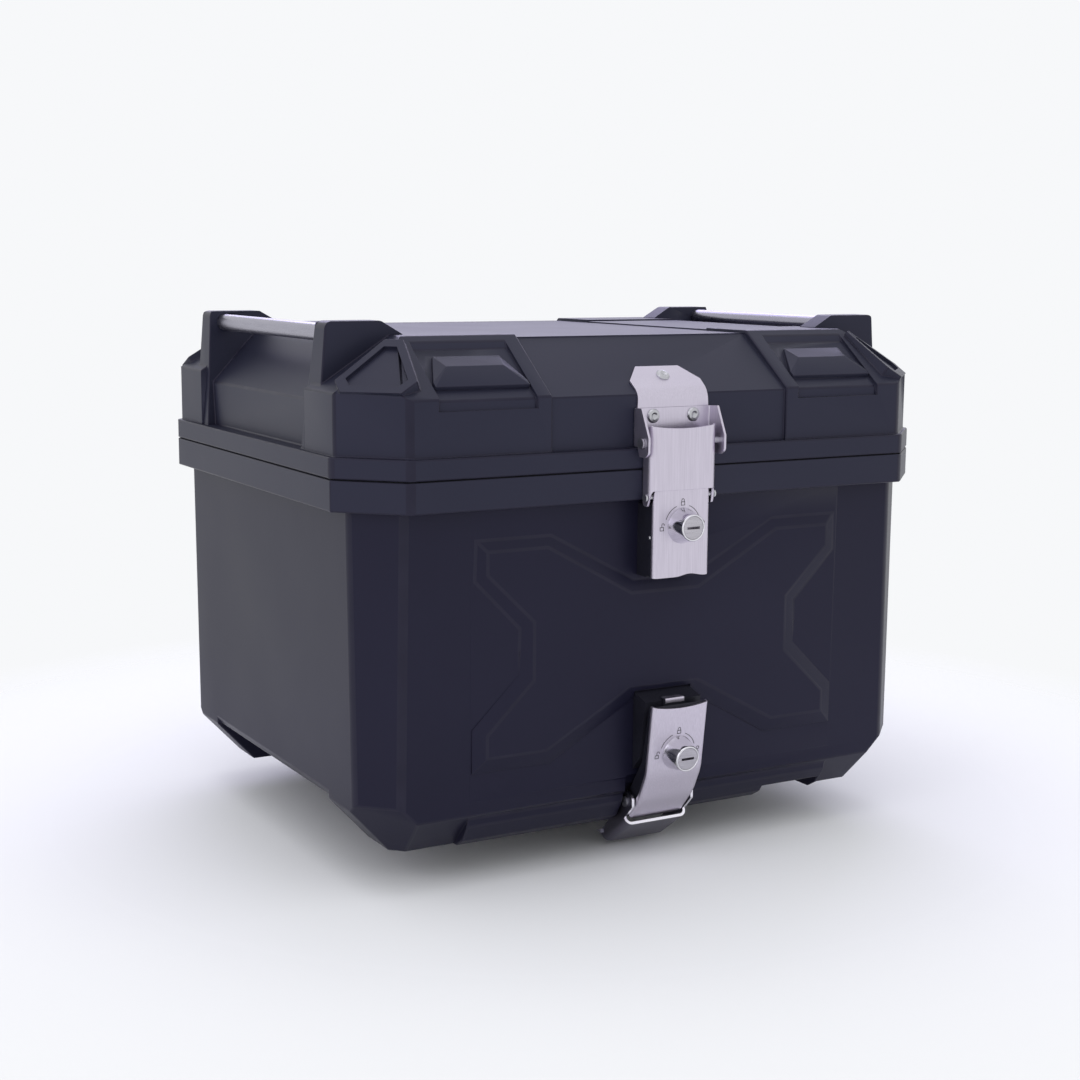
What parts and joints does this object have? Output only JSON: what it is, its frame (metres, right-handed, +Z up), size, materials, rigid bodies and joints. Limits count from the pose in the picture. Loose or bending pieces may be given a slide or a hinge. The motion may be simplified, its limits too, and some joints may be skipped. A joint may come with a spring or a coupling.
{
  "type": "motorcycle top case",
  "caption": "Hard motorcycle top case with a roof-shaped hinged lid, metal side rails, a lockable draw latch and a lockable carrier-plate release.",
  "frame": {"origin": "middle of the tub's underside face, which sits on the carrier plate", "axes": "+Z up, -Y towards the latch side, +X to the right as seen from the latch side"},
  "size_m": [0.43, 0.379, 0.3417],
  "materials": {
    "satin_black_plastic": "satin, fine moulded texture",
    "black_rubber": "matt",
    "black_nylon": "satin",
    "black_coated_steel": "powder coat",
    "rail_aluminium": "satin anodised",
    "brushed_stainless": "fine brushed",
    "lock_chrome": "polished",
    "lock_rotor": "satin",
    "dark_steel": "dark satin",
    "zinc_fasteners": "plated"
  },
  "bodies": {
    "tub": {"case_body": "satin_black_plastic", "rim_seal": "black_rubber", "floor_mat": "black_rubber", "foot_pads": "black_rubber", "plate_hook_left": "black_nylon", "plate_hook_right": "black_nylon", "plate_hook_screws": "zinc_fasteners", "hinge_base_left": "black_coated_steel", "hinge_base_right": "black_coated_steel", "hinge_base_screws": "zinc_fasteners", "hinge_pin_left": "zinc_fasteners", "hinge_pin_right": "zinc_fasteners", "catch_block": "black_nylon", "catch_screws": "zinc_fasteners", "catch_backing_plate": "zinc_fasteners", "release_housing": "black_nylon", "release_screws": "zinc_fasteners", "release_backing_plate": "zinc_fasteners", "release_pin": "zinc_fasteners"},
    "lid": {"lid_shell": "satin_black_plastic", "rail_left": "rail_aluminium", "rail_right": "rail_aluminium", "rail_end_plugs": "black_nylon", "lid_bracket": "brushed_stainless", "bracket_rivets": "zinc_fasteners", "bracket_backing_plate": "zinc_fasteners", "hinge_leaf_left": "black_coated_steel", "hinge_leaf_right": "black_coated_steel", "hinge_leaf_screws": "zinc_fasteners", "link_pin": "zinc_fasteners"},
    "link": {"latch_link": "brushed_stainless", "lever_pin": "zinc_fasteners"},
    "lever": {"latch_lever_cover": "brushed_stainless", "latch_lever_core": "black_nylon", "latch_barrel": "lock_chrome"},
    "latch_key": {"latch_rotor": "lock_rotor"},
    "release": {"release_lever_cover": "brushed_stainless", "release_lever_core": "black_nylon", "release_barrel": "lock_chrome"},
    "release_key": {"release_rotor": "lock_rotor"},
    "jaw": {"grip_jaw": "dark_steel"}
  },
  "joints": [
    {"name": "lid_hinge", "type": "hinge", "parent": "tub", "child": "lid", "pos_m": [0, 0.18, 0.23], "axis": [-1, 0, 0], "range_deg": [0, 95]},
    {"name": "link_swing", "type": "hinge", "parent": "lid", "child": "link", "pos_m": [0, -0.178, 0.2465], "axis": [-1, 0, 0], "range_deg": [0, 70]},
    {"name": "lever_swing", "type": "hinge", "parent": "link", "child": "lever", "pos_m": [0, -0.177, 0.213], "axis": [-1, 0, 0], "range_deg": [0, 90]},
    {"name": "latch_key_turn", "type": "hinge", "parent": "lever", "child": "latch_key", "pos_m": [0, -0.19, 0.195], "axis": [0, -1, 0], "range_deg": [0, 90]},
    {"name": "release_swing", "type": "hinge", "parent": "tub", "child": "release", "pos_m": [0, -0.157, 0.016], "axis": [1, 0, 0], "range_deg": [0, 50], "stiffness_Nm_per_rad": 0.05, "springref_deg": -45.84},
    {"name": "release_key_turn", "type": "hinge", "parent": "release", "child": "release_key", "pos_m": [0, -0.18, 0.051], "axis": [0, -0.9919, -0.1271], "range_deg": [0, 90]},
    {"name": "jaw_swing", "type": "hinge", "parent": "tub", "child": "jaw", "pos_m": [0, -0.157, 0.016], "axis": [1, 0, 0], "range_deg": [-30, 0]}
  ],
  "couplings": [
    {"joint": "jaw_swing", "follows": "release_swing", "ratio": -0.6}
  ]
}
